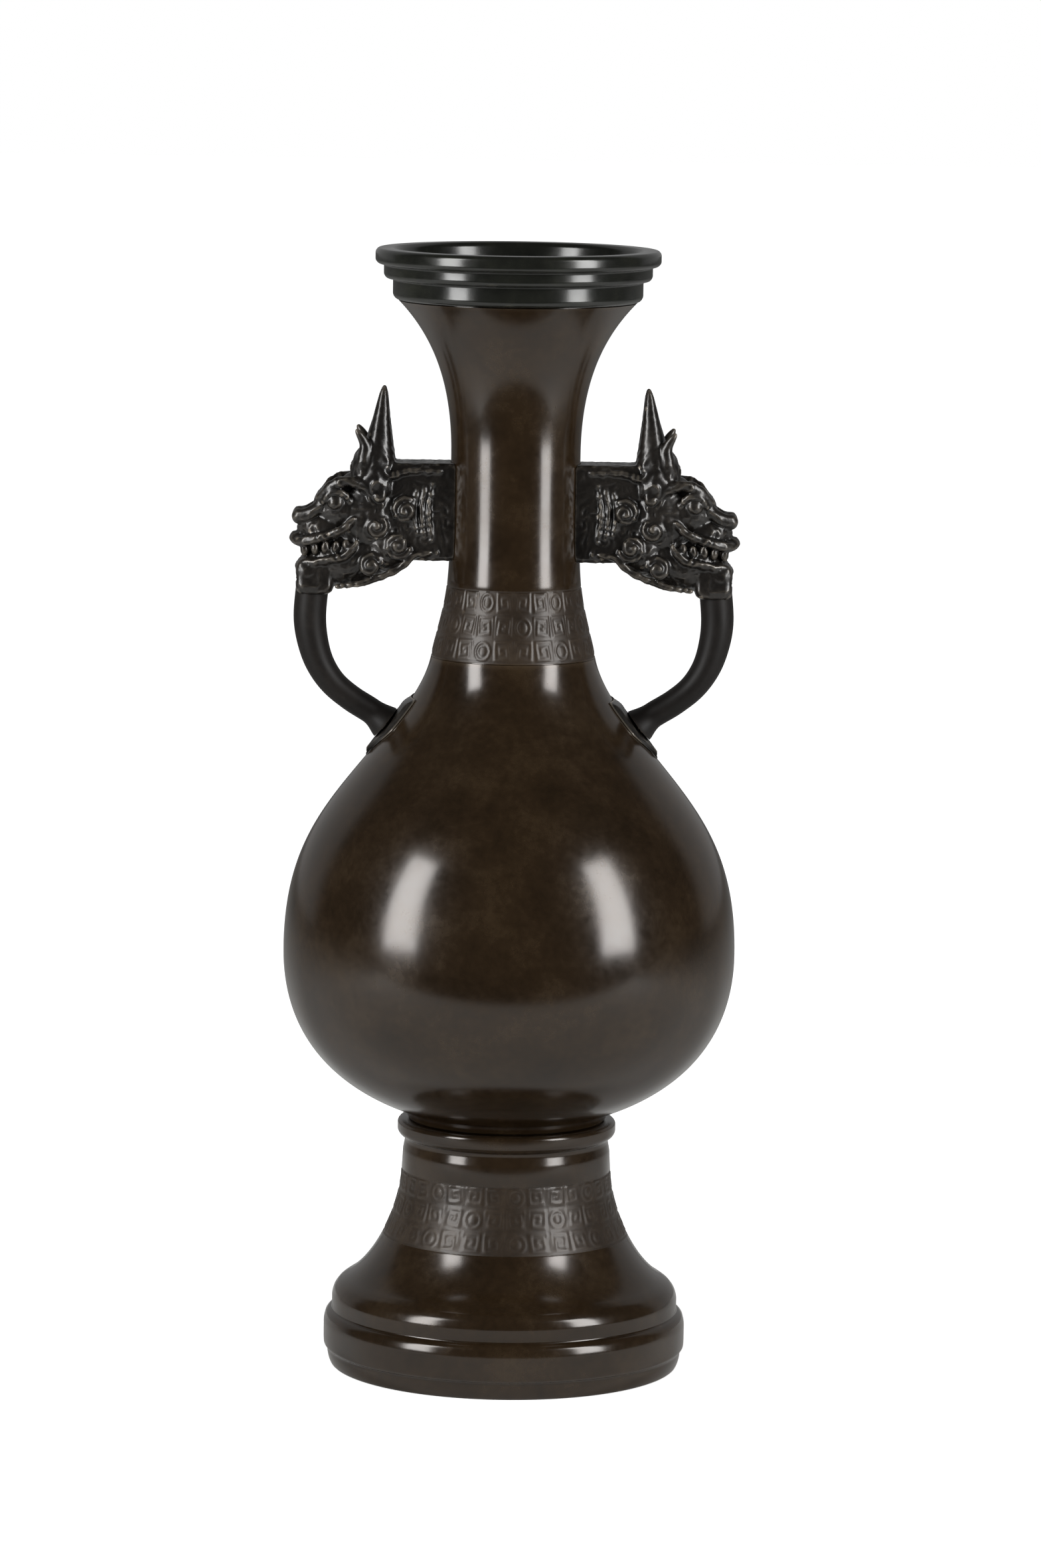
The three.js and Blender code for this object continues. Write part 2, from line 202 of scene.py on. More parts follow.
def add_node(tree: bpy.types.NodeTree, kind: str, settings: dict[str, object] | None = None,
             inputs: dict[str, object] | None = None) -> bpy.types.Node:
    """Add one node with its settings, and with values or links for its inputs.

    Args:
        tree: Node tree that the node goes into.
        kind: Blender's name for the node type.
        settings: Properties of the node itself.
        inputs: Input names, each with a value or with a socket to link from.

    Returns:
        The new node.
    """
    node = tree.nodes.new(kind)
    for key, value in (settings or {}).items():
        setattr(node, key, value)
    for key, value in (inputs or {}).items():
        socket = node.inputs[int(key)] if key.isdigit() else node.inputs[key]
        if isinstance(value, bpy.types.NodeSocket):
            tree.links.new(value, socket)
        else:
            socket.default_value = value
    return node


@dataclass(frozen=True)
class PatinatedBronze:
    """Cast bronze, darkened with chemicals and waxed: a clear gloss over a cloudy, nearly black skin.

    The patina hides most of the metal, so the finish is only slightly metallic. The casting grain is drawn
    0.5 mm wide, coarser than real grain, so that it shows.
    """

    name: str
    dark: str
    middle: str
    light: str
    worn: str
    roughness: float = 0.17
    metallic: float = 0.2
    mottle_mm: float = 16.0
    speck_mm: float = 2.2
    speck_share: float = 0.35
    grain_mm: float = 0.5
    grain_depth_mm: float = 0.008
    wear: float = 0.2
    # Painted shade: how much darker the colour is made in hollows, where shade falls
    painted_cavity_shade: float = 0.5
    specular: float = 0.5
    coat: float = 0.2
    coat_roughness: float = 0.12
    tone_range: Point = (0.34, 0.66)
    # Pointiness values over which the painted shade in hollows fades out
    painted_shade_range: Point = (0.44, 0.5)
    proud_range: Point = (0.515, 0.58)
    gloss_range: Point = (0.35, 0.65)
    gloss_change: Point = (-0.03, 0.06)
    matt_bands: tuple[Point, ...] = ()
    matt_roughness: float = 0.26

    def build(self) -> bpy.types.Material:
        """Make the material.

        Returns:
            A node material whose patterns are sized in millimetres.
        """
        material = bpy.data.materials.new(self.name)
        material.use_nodes = True
        tree = material.node_tree
        tree.nodes.clear()
        place = add_node(tree, "ShaderNodeTexCoord").outputs["Object"]
        mottle = add_node(tree, "ShaderNodeTexNoise", {}, {
            "Vector": place, "Scale": per_size(self.mottle_mm), "Detail": 6.0, "Roughness": 0.6})
        specks = add_node(tree, "ShaderNodeTexNoise", {}, {
            "Vector": place, "Scale": per_size(self.speck_mm), "Detail": 4.0, "Roughness": 0.65})
        grain = add_node(tree, "ShaderNodeTexNoise", {}, {
            "Vector": place, "Scale": per_size(self.grain_mm), "Detail": 3.0, "Roughness": 0.6})
        blend = add_node(tree, "ShaderNodeMix", {"data_type": "FLOAT"}, {
            "0": self.speck_share, "2": mottle.outputs["Fac"], "3": specks.outputs["Fac"]})
        ramp = add_node(tree, "ShaderNodeValToRGB", {}, {"Fac": blend.outputs[0]})
        ramp.color_ramp.elements[0].position = self.tone_range[0]
        ramp.color_ramp.elements[0].color = linear(self.dark)
        ramp.color_ramp.elements[1].position = self.tone_range[1]
        ramp.color_ramp.elements[1].color = linear(self.light)
        middle = ramp.color_ramp.elements.new(0.5)
        middle.color = linear(self.middle)
        edges = add_node(tree, "ShaderNodeNewGeometry").outputs["Pointiness"]
        # Painted shade: the colour is darkened where Pointiness finds hollows, standing in for the shade
        # that falls there
        painted_shade = add_node(tree, "ShaderNodeMapRange", {}, {
            "Value": edges, "From Min": self.painted_shade_range[0], "From Max": self.painted_shade_range[1],
            "To Min": 1.0 - self.painted_cavity_shade, "To Max": 1.0})
        proud = add_node(tree, "ShaderNodeMapRange", {}, {
            "Value": edges, "From Min": self.proud_range[0], "From Max": self.proud_range[1],
            "To Min": 0.0, "To Max": self.wear})
        worn = add_node(tree, "ShaderNodeMix", {"data_type": "RGBA"}, {
            "0": proud.outputs[0], "6": ramp.outputs["Color"], "7": linear(self.worn)})
        shaded = add_node(tree, "ShaderNodeMix", {"data_type": "RGBA", "blend_type": "MULTIPLY"}, {
            "0": 1.0, "6": worn.outputs[2], "7": painted_shade.outputs[0]})
        gloss = add_node(tree, "ShaderNodeMapRange", {}, {
            "Value": blend.outputs[0], "From Min": self.gloss_range[0], "From Max": self.gloss_range[1],
            "To Min": self.roughness + self.gloss_change[0],
            "To Max": self.roughness + self.gloss_change[1]})
        heights = add_node(tree, "ShaderNodeSeparateXYZ", {}, {"Vector": place}).outputs["Z"]
        rough = gloss.outputs[0]
        for low, high in self.matt_bands:
            inside = add_node(tree, "ShaderNodeMath", {"operation": "COMPARE"}, {
                "0": heights, "1": (low + high) / 2 * MM, "2": (high - low) / 2 * MM})
            rough = add_node(tree, "ShaderNodeMath", {"operation": "MULTIPLY_ADD"}, {
                "0": inside.outputs[0], "1": self.matt_roughness, "2": rough}).outputs[0]
        bump = add_node(tree, "ShaderNodeBump", {}, {
            "Height": grain.outputs["Fac"], "Strength": 0.5, "Distance": self.grain_depth_mm * MM})
        shader = add_node(tree, "ShaderNodeBsdfPrincipled", {}, {
            "Base Color": shaded.outputs[2], "Metallic": self.metallic, "Roughness": rough,
            "Specular IOR Level": self.specular, "Normal": bump.outputs[0], "Coat Weight": self.coat,
            "Coat Roughness": self.coat_roughness})
        add_node(tree, "ShaderNodeOutputMaterial", {}, {"Surface": shader.outputs[0]})
        return material


def finishes(profile: "VaseProfile") -> dict[str, bpy.types.Material]:
    """Make the vase's finishes.

    Args:
        profile: The outlines, which say where the matt engraved bands lie.

    Returns:
        The materials by the record's slot names, and one more for the plain loops.
    """
    kinds = {
        # Waxed patina, polished by hand: dark brown with clear highlights, and matt where it is engraved
        "brown_bronze": PatinatedBronze("waxed brown patina", "#20170d", "#291e12", "#34281a", "#5f5140",
                                        coat=0.1, matt_bands=(profile.foot_band, profile.neck_band)),
        # A colder, greener patina than the neck's, which makes the rim look nearly black
        "rim_bronze": PatinatedBronze("grey green patina", "#151613", "#1b1c18", "#25261f", "#5a584e",
                                      roughness=0.2, speck_mm=3.0),
        # Rough cast figures: painted shade darkening the hollows, and pale metal where hands have rubbed
        # them
        "dark_bronze": PatinatedBronze("black brown patina", "#131110", "#1c1916", "#2a2622", "#988e80",
                                       roughness=0.3, metallic=0.3, wear=0.45, painted_cavity_shade=0.8, speck_mm=1.6),
        # Unwaxed black patina, with hardly any shine
        "loop_bronze": PatinatedBronze("rubbed black patina", "#100e0c", "#151210", "#1d1916", "#4a4239",
                                       roughness=0.5, metallic=0.0, specular=0.2, coat=0.0),
        # Plain bronze pins inside the walls, dull and untreated
        "rivet_bronze": PatinatedBronze("dull bronze", "#40321f", "#4d3d28", "#5d4b33", "#8f7a55",
                                        roughness=0.42),
    }
    return {slot: kind.build() for slot, kind in kinds.items()}


@dataclass
class Band:
    """A cast band of squared spirals with ringed bosses, raised on a turned surface."""

    low: float
    high: float
    rows: int
    columns: int
    relief: float = 0.13
    turns: float = 2.0
    boss_every: int = 4
    groove_edges: tuple[float, ...] = (0.0, 0.25, 0.45, 0.7)
    line_edges: tuple[float, ...] = (0.08, 0.3, 0.55, 0.8)
    cell_edge: Point = (0.84, 0.96)
    cell_depth: float = 0.35
    dome_reach: float = 0.42
    dome_height: float = 1.6
    ring_edges: tuple[float, ...] = (0.58, 0.66, 0.78, 0.88)
    boss_ground: float = -0.2

    def height(self, angle: float, z: float) -> float:
        """Give the relief at a place on the band.

        Args:
            angle: Angle round the axis, in radians.
            z: Height in millimetres.

        Returns:
            How far the surface stands out from the ground, in millimetres; negative in grooves.
        """
        across = (z - self.low) / (self.high - self.low)
        if across < 0.0 or across > 1.0:
            return 0.0
        edge = min(across, 1.0 - across) * (self.high - self.low)
        if edge < self.groove_edges[-1]:
            return -self.relief * ridge(self.groove_edges, edge)
        row_place = across * self.rows
        column_place = (angle / (2 * math.pi) % 1.0) * self.columns
        row = int(min(row_place, self.rows - 1e-6))
        column = int(column_place)
        x = (column_place - column) * 2.0 - 1.0
        y = (row_place - row) * 2.0 - 1.0
        if (column + 2 * row) % self.boss_every == 0:
            return self.relief * self.boss(math.hypot(x, y))
        if (column + row) % 2:
            x = -x
        return self.relief * self.spiral(x, y)

    def spiral(self, x: float, y: float) -> float:
        """Draw one squared spiral in a cell that runs from -1 to 1 each way.

        Args:
            x: Place across the cell.
            y: Place up the cell.

        Returns:
            The height as a share of the relief.
        """
        reach = max(abs(x), abs(y))
        phase = (self.turns * reach - math.atan2(y, x) / (2 * math.pi)) % 1.0
        gap = smooth_step(self.cell_edge[0], self.cell_edge[1], reach)
        return ridge(self.line_edges, phase) * (1.0 - gap) - self.cell_depth * gap

    def boss(self, reach: float) -> float:
        """Draw a domed boss inside a raised ring.

        Args:
            reach: Distance from the cell's middle, where 1 is its side.

        Returns:
            The height as a share of the relief.
        """
        dome = self.dome_height * max(0.0, 1.0 - (reach / self.dome_reach) ** 2) ** 0.5
        return dome + ridge(self.ring_edges, reach) + self.boss_ground


@dataclass
class TurnedCasting:
    """A casting whose section is spun round the vase's axis."""

    name: str
    slot: str
    outline: list[Point]
    steps: int = 256
    band: Band | None = None
    band_ground: float = 0.0

    def build(self, materials: dict[str, bpy.types.Material]) -> bpy.types.Object:
        """Spin the outline, raise its band and finish the piece.

        Args:
            materials: The finishes by slot.

        Returns:
            The finished piece, which stands for the CAD node of the same name.
        """
        shape = bmesh.new()
        verts = [shape.verts.new((r, 0.0, z)) for r, z in self.outline]
        closed = self.outline[0][0] > 1e-6
        pairs = list(zip(verts, verts[1:]))
        if closed:
            pairs.append((verts[-1], verts[0]))
        edges = [shape.edges.new(pair) for pair in pairs]
        bmesh.ops.spin(shape, geom=verts + edges, cent=(0, 0, 0), axis=(0, 0, 1),
                       angle=2 * math.pi, steps=self.steps, use_merge=True, use_duplicate=False)
        bmesh.ops.remove_doubles(shape, verts=shape.verts, dist=1e-4)
        bmesh.ops.recalc_face_normals(shape, faces=shape.faces)
        if self.band is not None:
            self.raise_band(shape, self.band)
        piece = new_object(f"{self.name}_surface", shape, materials[self.slot])
        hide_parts(self.name)
        return piece

    def raise_band(self, shape: bmesh.types.BMesh, band: Band) -> None:
        """Move the outer surface's points in or out by the band's relief.

        Args:
            shape: The spun shape, in millimetres.
            band: The band to raise, on what lies further out than the band's ground radius.
        """
        for vert in shape.verts:
            reach = math.hypot(vert.co.x, vert.co.y)
            if band.low <= vert.co.z <= band.high and reach > self.band_ground:
                rise = band.height(math.atan2(vert.co.y, vert.co.x), vert.co.z)
                vert.co.x *= 1.0 + rise / reach
                vert.co.y *= 1.0 + rise / reach


@dataclass
class VaseProfile:
    """The outlines of the four turned castings, in millimetres from the foot's underside."""

    wall: float = 3.0
    gap: float = 0.3
    up: Point = (0.0, 1.0)
    belly_foot: Point = (29.0, 74.0)
    belly: Point = (64.4, 120.0)
    shoulder: Point = (42.3, 174.5)
    neck_joint: Point = (23.3, 204.5)
    neck_band_top: Point = (19.0, 225.0)
    neck_waist: Point = (18.3, 262.0)
    mouth: Point = (33.6, 305.2)
    foot_waist: Point = (29.9, 57.0)
    flare: Point = (45.6, 25.2)
    foot_band: Point = (38.0, 57.0)
    foot_wall: float = 3.2
    collar_top: float = 71.4
    spigot_radius: float = 24.0
    spigot_foot: float = 53.4
    neck_spigot_foot: float = 196.5
    neck_spigot_wall: float = 2.2
    rim_tenon_radius: float = 31.5
    rim_tenon_top: float = 311.2
    body_outer: list[Point] = field(default_factory=list)
    neck_outer: list[Point] = field(default_factory=list)

    def __post_init__(self) -> None:
        """Draw the two outer curves that the other pieces follow."""
        self.body_outer = [
            *bend(self.belly_foot, (1, 0.34), 16, self.belly, self.up, 29, 40),
            *bend(self.belly, self.up, 27, self.shoulder, (-0.62, 0.76), 20, 40)[1:],
            *bend(self.shoulder, (-0.62, 0.76), 14, self.neck_joint, (-0.2, 1), 10, 24)[1:],
        ]
        foot = (self.neck_joint[0] - 0.02, self.neck_joint[1] + 0.12)
        self.neck_outer = [
            *bend(foot, (-0.2, 1), 7, self.neck_band_top, (-0.1, 1), 8, 64),
            *bend(self.neck_band_top, (-0.09, 1), 12, self.neck_waist, self.up, 12, 22)[1:],
            *bend(self.neck_waist, self.up, 20, self.mouth, (0.7, 0.72), 14, 44)[1:],
        ]

    @property
    def neck_band(self) -> Point:
        """Lowest and highest place of the neck's engraved band."""
        return self.neck_joint[1] + self.gap, self.neck_band_top[1]

    def foot(self) -> list[Point]:
        """Draw the foot: stepped base ring, flare, engraved waist and collar lip.

        Returns:
            The closed outline as radius and height.
        """
        flare = bend(self.flare, (-0.86, 0.5), 9, self.foot_waist, (-0.02, 1), 12, 90)
        base = rounded([
            (44.8, 0.0), (49.6, 0.0), (50.3, 1.6), (50.7, 3.4), (50.7, 4.9), (51.7, 5.7), (51.8, 7.4),
            (51.8, 12.6), (51.3, 14.8), (50.4, 15.7), (49.5, 16.1), (49.5, 20.2), (48.9, 22.1),
            (47.6, 23.8), self.flare,
        ], 0.7)
        socket = self.spigot_radius + self.gap
        collar = rounded([
            self.foot_waist, (29.6, 62.5), (29.1, 65.2), (29.2, 66.3), (30.5, 66.9), (31.2, 68.0),
            (31.2, 70.5), (30.7, 71.2), (29.8, self.collar_top), (socket, self.collar_top),
            (socket, self.spigot_foot - self.gap),
        ], 0.5)
        inside = [p for p in offset(flare, self.foot_wall) if p[1] < 50.0 and p[0] > socket][::4]
        return [*base[:-1], *flare, *collar[1:], *reversed(inside), (44.8, 18.2)]

    def body(self) -> list[Point]:
        """Draw the body: belly and shoulder, its wall, and the closed spigot below it.

        Returns:
            The outline as radius and height, from the axis outside the spigot to the axis inside it.
        """
        inside = [p for p in offset(self.body_outer, self.wall) if 77.0 < p[1] < 193.0][::2]
        joint = self.neck_joint[0] - self.wall
        seat = self.collar_top + self.gap
        bore = self.spigot_radius - self.wall
        return [
            (0.0, self.spigot_foot), (self.spigot_radius - 0.8, self.spigot_foot),
            (self.spigot_radius, self.spigot_foot + 0.8), (self.spigot_radius, seat),
            (28.0, seat), (28.4, 72.2), (28.6, 73.2), *self.body_outer,
            (joint, self.neck_joint[1]), (joint, self.neck_spigot_foot - self.gap), *reversed(inside),
            (bore, seat + self.wall), (bore, self.spigot_foot + self.wall),
            (0.0, self.spigot_foot + self.wall),
        ]

    def neck(self) -> list[Point]:
        """Draw the neck: spigot, engraved band, trumpet and the tenon in the mouth rim.

        Returns:
            The closed outline as radius and height.
        """
        spigot = self.neck_joint[0] - self.wall - self.gap
        bore = spigot - self.neck_spigot_wall
        inside = offset(self.neck_outer, self.wall)[1:-1]
        return [
            (bore, self.neck_spigot_foot), (spigot, self.neck_spigot_foot), (spigot, self.neck_band[0]),
            *self.neck_outer, (self.rim_tenon_radius, self.mouth[1]),
            (self.rim_tenon_radius, self.rim_tenon_top),
            (self.rim_tenon_radius - self.neck_spigot_wall, self.rim_tenon_top),
            *reversed(inside[::3]), (bore, self.neck_joint[1] + 5.0),
        ]

    def rim(self) -> list[Point]:
        """Draw the mouth rim: three bands, each wider than the one below.

        Returns:
            The closed outline as radius and height.
        """
        socket = self.rim_tenon_radius + self.gap
        return rounded([
            (socket, self.mouth[1] + self.gap), (33.7, 305.4), (34.7, 305.9), (35.3, 306.9),
            (35.3, 311.2), (37.2, 311.5), (37.9, 312.5), (37.9, 315.3), (39.5, 315.6), (40.3, 316.5),
            (40.3, 319.1), (39.5, 320.0), (35.3, 320.0), (34.2, 319.1), (32.5, 312.5), (socket, 311.9),
            (socket, 308.0),
        ], 0.5)

    def castings(self) -> list[TurnedCasting]:
        """List the four turned castings.

        Returns:
            The castings from the foot up.
        """
        neck_band = Band(*self.neck_band, rows=3, columns=24)
        foot_band = Band(*self.foot_band, rows=3, columns=32)
        return [
            TurnedCasting("foot", "brown_bronze", self.foot(), 420, foot_band, 29.0),
            TurnedCasting("body", "brown_bronze", self.body(), 256),
            TurnedCasting("neck", "brown_bronze", self.neck(), 480, neck_band, 18.6),
            TurnedCasting("mouth_rim", "rim_bronze", self.rim(), 256),
        ]


@dataclass
class Sculpt:
    """Clay for a cast figure: overlapping simple shapes that are fused into one skin."""

    shape: bmesh.types.BMesh = field(default_factory=bmesh.new)
    bead_spacing: float = 0.35
    curl_steps: int = 14
    curl_close: float = 0.88

    def ball(self, centre: Place, radii: Place, turn_deg: float = 0.0, detail: int = 3) -> None:
        """Add an ellipsoid.

        Args:
            centre: Its middle.
            radii: Its half sizes along X, Y and Z.
            turn_deg: Turn about Y, which tips its nose down when it is positive.
            detail: How often the sphere's triangles are divided.
        """
        matrix = (Matrix.Translation(centre) @ Matrix.Rotation(math.radians(turn_deg), 4, "Y")
                  @ Matrix.Diagonal((*radii, 1.0)))
        bmesh.ops.create_icosphere(self.shape, subdivisions=detail, radius=1.0, matrix=matrix)

    def block(self, low: Place, high: Place, round_mm: float) -> None:
        """Add a box with rounded edges.

        Args:
            low: Its lowest corner.
            high: Its highest corner.
            round_mm: Size of the rounding.
        """
        size = Vector(high) - Vector(low)
        matrix = Matrix.Translation((Vector(high) + Vector(low)) / 2) @ Matrix.Diagonal((*size, 1.0))
        made = bmesh.ops.create_cube(self.shape, size=1.0, matrix=matrix)
        edges = {edge for vert in made["verts"] for edge in vert.link_edges}
        bmesh.ops.bevel(self.shape, geom=list(edges), offset=round_mm, affect="EDGES", segments=3,
                        profile=0.5, material=-1)

    def strand(self, points: Sequence[Place], radii: Sequence[float]) -> None:
        """Add a tapering rope of clay along a smooth line.

        Args:
            points: Places that the line passes through, in millimetres.
            radii: Radius at each of those places.
        """
        path = smooth_path([Vector(p) for p in points])
        total = len(path) - 1
        last: Vector | None = None
        rope = bmesh.new()
        for index, place in enumerate(path):
            share = index / total * (len(radii) - 1)
            low = min(int(share), len(radii) - 2)
            radius = radii[low] + (radii[low + 1] - radii[low]) * (share - low)
            if last is None or (place - last).length > radius * self.bead_spacing or index == total:
                bmesh.ops.create_icosphere(rope, subdivisions=2, radius=radius,
                                           matrix=Matrix.Translation(place))
                last = place
        mesh = bpy.data.meshes.new("rope")
        rope.to_mesh(mesh)
        rope.free()
        self.shape.from_mesh(mesh)
        bpy.data.meshes.remove(mesh)

    def curl(self, centre: Place, reach: float, thickness: float, turns: float, start_deg: float,
             lift: float) -> None:
        """Add a spiral lock that lies in the XZ plane and rises towards its middle.

        Args:
            centre: Middle of the spiral.
            reach: Distance from the middle to the outermost turn's centre line.
            thickness: Radius of the rope.
            turns: How often it goes round; negative winds the other way.
            start_deg: Angle at which the outer end starts.
            lift: How far the middle stands out along Y, with its sign.
        """
        points = []
        for step in range(self.curl_steps + 1):
            share = step / self.curl_steps
            angle = math.radians(start_deg) + share * turns * 2 * math.pi
            radius = reach * (1.0 - share * self.curl_close)
            points.append((centre[0] + radius * math.cos(angle), centre[1] + lift * share,
                           centre[2] + radius * math.sin(angle)))
        self.strand(points, (thickness * 0.75, thickness, thickness * 1.1))

    def fused(self, name: str, voxel_mm: float, smooth: int) -> bmesh.types.BMesh:
        """Fuse all the clay into one closed skin.

        Args:
            name: Name for the scratch object.
            voxel_mm: Grid size of the new skin.
            smooth: How many times its points are averaged.

        Returns:
            The skin in millimetres.
        """
        mesh = bpy.data.meshes.new(name)
        self.shape.to_mesh(mesh)
        self.shape.free()
        scratch = bpy.data.objects.new(name, mesh)
        bpy.context.scene.collection.objects.link(scratch)
        remesh = scratch.modifiers.new("skin", "REMESH")
        remesh.mode = "VOXEL"
        remesh.voxel_size = voxel_mm
        graph = bpy.context.evaluated_depsgraph_get()
        skin = bmesh.new()
        skin.from_object(scratch, graph)
        bpy.data.objects.remove(scratch)
        bpy.data.meshes.remove(mesh)
        for _ in range(smooth):
            bmesh.ops.smooth_vert(skin, verts=skin.verts, factor=0.5, use_axis_x=True, use_axis_y=True,
                                  use_axis_z=True)
        return skin


def smooth_path(points: Sequence[Vector], steps: int = 12) -> list[Vector]:
    """Draw a smooth line through points, as a chain of cubic stretches.

    Args:
        points: Places that the line passes through.
        steps: Pieces in each stretch.

    Returns:
        The places along the line, both ends included.
    """
    path = [points[0]]
    for index in range(len(points) - 1):
        before = points[max(index - 1, 0)]
        start, end = points[index], points[index + 1]
        after = points[min(index + 2, len(points) - 1)]
        first = start + (end - before) / 6
        second = end - (after - start) / 6
        path.extend(interpolate_bezier(start, first, second, end, steps + 1)[1:])
    return path


@dataclass
class Handles:
    """The handles: a horned beast head on a bracket, the loop from its mouth, and the shoulder pad."""

    profile: VaseProfile
    voxel: float = 0.4
    scroll_mm: float = 3.4
    swirl_mm: float = 7.0
    swirl_bend: float = 1.6
    scroll_sharpness: float = 2.2
    scroll_depth: float = 0.26
    scroll_seed: int = 1795657072
    pit_mm: float = 1.3
    pit_depth: float = 0.08
    horn_foot_z: float = 259.0
    horn_smooth_z: float = 264.0
    horn_fade: float = 0.8
    neck_seat_gap: float = 0.12
    loop_thickness: float = 9.3
    loop_width: float = 11.0
    loop_sides: int = 40
    loop_taper: float = 0.2
    loop_flare: float = 0.28
    jaw_z: float = 224.5
    pad_z: float = 184.0
    pad_length: float = 21.0
    pad_width: float = 16.6
    pad_thickness: float = 1.5
    pad_shell: float = 0.5
    pad_lift: float = 0.15
    pad_slope: float = 1.15
    pad_point: float = 0.98
    midrib_height: float = 0.2
    midrib_width: float = 0.08
    vein_height: float = 0.1
    vein_lean: float = 1.6
    vein_pace: float = 14.0

    def fit_both(self, stem: str, shape: bmesh.types.BMesh, material: bpy.types.Material,
                 smooth_angle: float = 40.0) -> None:
        """Fit a shape drawn on the +X side to both sides, turned half round for the left.

        Args:
            stem: Name of the CAD nodes without their side.
            shape: The shape in millimetres, which is freed here.
            material: Finish of the piece.
            smooth_angle: Edges sharper than this many degrees stay sharp.
        """
        for side in Side:
            copy = shape.copy()
            if side is Side.LEFT:
                half_turn = Matrix.Rotation(math.pi, 3, "Z")
                bmesh.ops.rotate(copy, cent=(0, 0, 0), matrix=half_turn, verts=copy.verts)
            node = f"{stem}_{side.name.lower()}"
            piece = new_object(f"{node}_surface", copy, material, smooth_angle)
            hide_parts(node)
        shape.free()

    def head(self, materials: dict[str, bpy.types.Material]) -> None:
        """Model the beast head and its bracket.

        Args:
            materials: The finishes by slot.
        """
        clay = Sculpt()
        clay.block((16.0, -7.2, 232.0), (36.0, 7.2, 259.6), 1.2)
        clay.ball((41.0, 0, 244.5), (12.5, 9.0, 13.5))
        clay.ball((48.5, 0, 246.5), (9.0, 8.2, 8.2), 20)
        clay.ball((53.5, 0, 240.5), (8.2, 7.4, 5.0))
        clay.ball((46.5, 0, 232.5), (13.0, 8.2, 8.6), 12)
        clay.ball((55.5, 0, 229.0), (5.8, 6.6, 7.2))
        clay.ball((36.0, 0, 236.0), (8.0, 8.8, 8.2))
        clay.block((51.2, -6.9, 221.8), (61.7, 6.9, 232.0), 2.2)
        for side in (-1, 1):
            self.face(clay, side)
            self.mane(clay, side)
            self.horns(clay, side)
        skin = clay.fused("clay", self.voxel, 2)
        self.roughen(skin)
        self.seat_on_neck(skin)
        self.fit_both("beast_head", skin, materials["dark_bronze"], 180)

    def face(self, clay: Sculpt, side: int) -> None:
        """Model the eye, brow, nose, lips and teeth of one side of the face.

        Args:
            clay: The figure that the clay goes onto.
            side: 1 or -1, the side along Y.
        """
        clay.ball((50.6, side * 7.4, 248.4), (2.3, 2.0, 2.2))
        clay.strand([(46.6, side * 7.8, 248.8), (48.6, side * 8.6, 251.2), (52.0, side * 8.2, 251.2),
                     (54.0, side * 7.0, 248.4)], (0.8, 1.0, 0.8))
        clay.strand([(42.0, side * 8.4, 252.8), (46.8, side * 8.8, 254.4), (51.6, side * 7.6, 253.2),
                     (55.2, side * 5.4, 249.4)], (1.3, 1.7, 1.2))
        clay.strand([(55.2, side * 5.0, 247.0), (58.4, side * 4.4, 244.6), (61.0, side * 3.2, 244.0)],
                    (1.8, 2.0, 2.3))
        clay.strand([(62.0, side * 1.0, 237.6), (60.2, side * 4.8, 237.0), (55.4, side * 7.2, 238.2),
                     (49.0, side * 8.6, 240.6), (45.6, side * 8.6, 243.6)], (1.9, 1.5, 1.3, 1.3, 0.9))
        clay.strand([(60.6, side * 1.2, 229.6), (59.6, side * 4.6, 230.8), (54.6, side * 7.2, 231.6),
                     (48.0, side * 8.6, 233.4), (44.6, side * 8.6, 237.0)], (1.6, 1.3, 1.2, 1.2, 0.9))
        for tooth in range(5):
            place = (59.4 - tooth * 3.0, side * (5.2 + tooth * 0.75), 234.6 + tooth * 0.45)
            clay.ball(place, (1.15, 1.1, 1.7))

    def mane(self, clay: Sculpt, side: int) -> None:
        """Model the curled locks behind the jaw and the lines on the bracket.

        Args:
            clay: The figure that the clay goes onto.
            side: 1 or -1, the side along Y.
        """
        depth = side * 8.0
        clay.curl((33.0, depth, 236.6), 3.6, 1.15, 1.4, 200, side * 1.4)
        clay.curl((31.0, depth, 246.4), 3.4, 1.1, -1.4, 120, side * 1.2)
        clay.curl((39.2, depth, 241.6), 3.4, 1.1, 1.3, 30, side * 1.6)
        clay.curl((40.6, depth, 230.6), 3.2, 1.1, -1.3, 160, side * 1.2)
        clay.curl((38.6, depth, 250.4), 2.8, 1.0, 1.2, 250, side * 1.0)
        clay.strand([(21.0, side * 7.0, 257.4), (30.0, side * 7.4, 257.6), (36.0, side * 7.8, 256.0),
                     (43.0, side * 8.2, 256.8)], (0.8, 1.0, 1.2, 0.9))
        clay.strand([(22.0, side * 7.0, 234.4), (28.0, side * 7.6, 233.6), (33.0, side * 7.8, 229.6),
                     (42.0, side * 7.6, 225.8), (50.0, side * 6.6, 224.4)], (0.8, 1.0, 1.1, 1.0, 0.8))
        for rib in range(3):
            x = 23.4 + rib * 2.2
            clay.strand([(x, side * 7.2, 238.0 + rib), (x + 0.9, side * 7.6, 246.0),
                         (x - 0.2, side * 7.2, 254.0 - rib)], (0.5, 0.75, 0.5))

